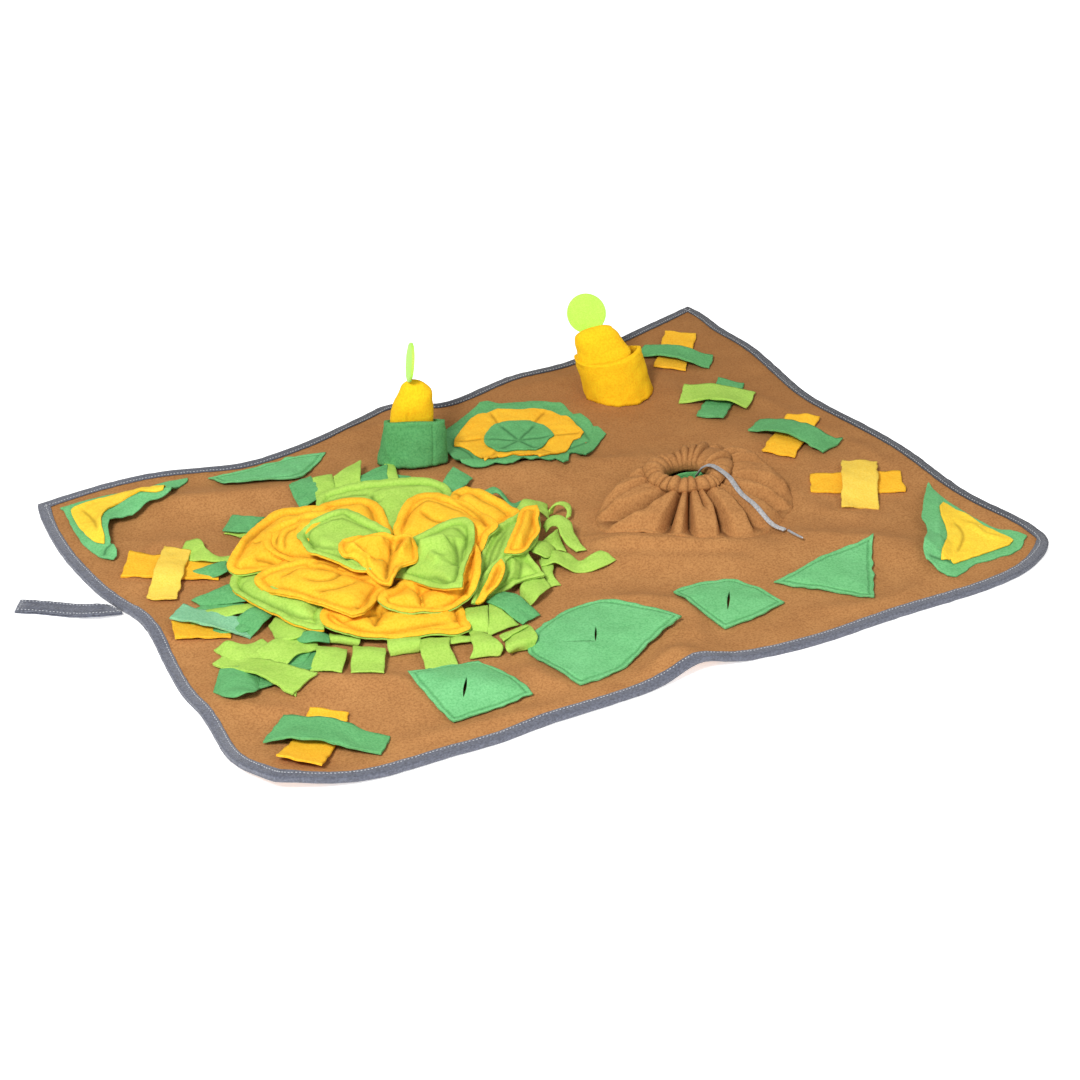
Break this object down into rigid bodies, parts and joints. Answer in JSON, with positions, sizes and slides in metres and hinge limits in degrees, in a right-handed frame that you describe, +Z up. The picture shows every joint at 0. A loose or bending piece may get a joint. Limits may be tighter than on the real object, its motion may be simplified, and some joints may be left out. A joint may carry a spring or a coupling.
{
  "type": "snuffle mat",
  "caption": "Fleece foraging mat with a layered flower, crossed strips, slit pockets, two pots with soft carrots and a drawstring pouch.",
  "frame": {"origin": "middle of the mat on its flat underside, which lies on the floor", "axes": "+X along the long side, away from the hanging loop; +Y to the edge with the two pots; +Z up"},
  "size_m": [1.0821, 0.7903, 0.1672],
  "materials": {
    "base_mat": "brushed brown fleece with a short curly pile",
    "edge_binding": "woven grey tape folded over the edge and stitched",
    "hanging_loop": "doubled woven grey tape with two rows of pale stitching",
    "leaf_back": "green fleece",
    "leaf_right": "green fleece",
    "pocket_near": "green fleece with a slit",
    "pocket_large": "green fleece with two slits",
    "pocket_small": "green fleece with a slit",
    "corner_left_pocket": "green fleece",
    "corner_left_inset": "yellow fleece",
    "corner_right_pocket": "green fleece",
    "corner_right_inset": "yellow fleece",
    "target_outer": "green fleece",
    "target_ring": "yellow fleece",
    "target_centre": "green fleece with six seams",
    "strip_far_under": "yellow fleece",
    "strip_far_over": "green fleece",
    "strip_second_under": "green fleece",
    "strip_second_over": "lime fleece",
    "strip_third_under": "yellow fleece",
    "strip_third_over": "green fleece",
    "strip_fourth_under": "yellow fleece",
    "strip_fourth_over": "pale yellow fleece",
    "strip_near_under": "yellow fleece",
    "strip_near_over": "green fleece",
    "strip_left_under": "green fleece",
    "strip_left_over": "lime fleece",
    "strip_back_left_under": "yellow fleece",
    "strip_back_left_over": "pale yellow fleece",
    "strip_tip_under": "yellow fleece",
    "strip_tip_over": "mint green fleece",
    "fringe_green": "green fleece tabs on a backing ring",
    "fringe_lime": "lime fleece tabs on a backing ring",
    "pot_green": "green fleece tube",
    "pot_yellow": "yellow fleece tube with a turned rim",
    "carrot_left": "stuffed yellow fleece",
    "carrot_right": "stuffed yellow fleece",
    "carrot_left_leaf": "bright green felt disc",
    "carrot_right_leaf": "bright green felt disc",
    "pouch": "gathered brown fleece",
    "pouch_lining": "green fleece",
    "lace": "pale grey woven flat cord",
    "lace_tip": "grey metal end sleeve",
    "petal_back": "lime fleece, two layers sewn together inside the edge",
    "petal_front_left": "lime fleece, two layers sewn together inside the edge",
    "petal_left": "yellow fleece, two layers sewn together inside the edge",
    "petal_back_right": "yellow fleece, two layers sewn together inside the edge",
    "petal_front": "yellow fleece, two layers sewn together inside the edge",
    "petal_right_fold": "lime fleece, two layers sewn together inside the edge",
    "petal_right_sliver": "yellow fleece, two layers sewn together inside the edge",
    "petal_back_left_mid": "yellow fleece, two layers sewn together inside the edge",
    "petal_back_right_mid": "yellow fleece, two layers sewn together inside the edge",
    "petal_left_mid": "yellow fleece, two layers sewn together inside the edge",
    "petal_front_left_mid": "yellow fleece, two layers sewn together inside the edge",
    "petal_front_right_mid": "yellow fleece, two layers sewn together inside the edge",
    "petal_inner_left": "lime fleece, two layers sewn together inside the edge",
    "petal_inner_right": "lime fleece, two layers sewn together inside the edge",
    "petal_centre": "yellow fleece, two layers sewn together inside the edge"
  },
  "bodies": {
    "root": {"base_mat": "base_mat", "edge_binding": "edge_binding", "hanging_loop": "hanging_loop", "leaf_back": "leaf_back", "leaf_right": "leaf_right", "pocket_near": "pocket_near", "pocket_large": "pocket_large", "pocket_small": "pocket_small", "corner_left_pocket": "corner_left_pocket", "corner_left_inset": "corner_left_inset", "corner_right_pocket": "corner_right_pocket", "corner_right_inset": "corner_right_inset", "target_outer": "target_outer", "target_ring": "target_ring", "target_centre": "target_centre", "strip_far_under": "strip_far_under", "strip_far_over": "strip_far_over", "strip_second_under": "strip_second_under", "strip_second_over": "strip_second_over", "strip_third_under": "strip_third_under", "strip_third_over": "strip_third_over", "strip_fourth_under": "strip_fourth_under", "strip_fourth_over": "strip_fourth_over", "strip_near_under": "strip_near_under", "strip_near_over": "strip_near_over", "strip_left_under": "strip_left_under", "strip_left_over": "strip_left_over", "strip_back_left_under": "strip_back_left_under", "strip_back_left_over": "strip_back_left_over", "strip_tip_under": "strip_tip_under", "strip_tip_over": "strip_tip_over", "fringe_green": "fringe_green", "fringe_lime": "fringe_lime", "pot_green": "pot_green", "pot_yellow": "pot_yellow", "carrot_left": "carrot_left", "carrot_right": "carrot_right", "carrot_left_leaf": "carrot_left_leaf", "carrot_right_leaf": "carrot_right_leaf", "pouch": "pouch", "pouch_lining": "pouch_lining", "lace": "lace", "lace_tip": "lace_tip", "petal_back": "petal_back", "petal_front_left": "petal_front_left", "petal_left": "petal_left", "petal_back_right": "petal_back_right", "petal_front": "petal_front", "petal_right_fold": "petal_right_fold", "petal_right_sliver": "petal_right_sliver", "petal_back_left_mid": "petal_back_left_mid", "petal_back_right_mid": "petal_back_right_mid", "petal_left_mid": "petal_left_mid", "petal_front_left_mid": "petal_front_left_mid", "petal_front_right_mid": "petal_front_right_mid", "petal_inner_left": "petal_inner_left", "petal_inner_right": "petal_inner_right", "petal_centre": "petal_centre"}
  },
  "joints": []
}
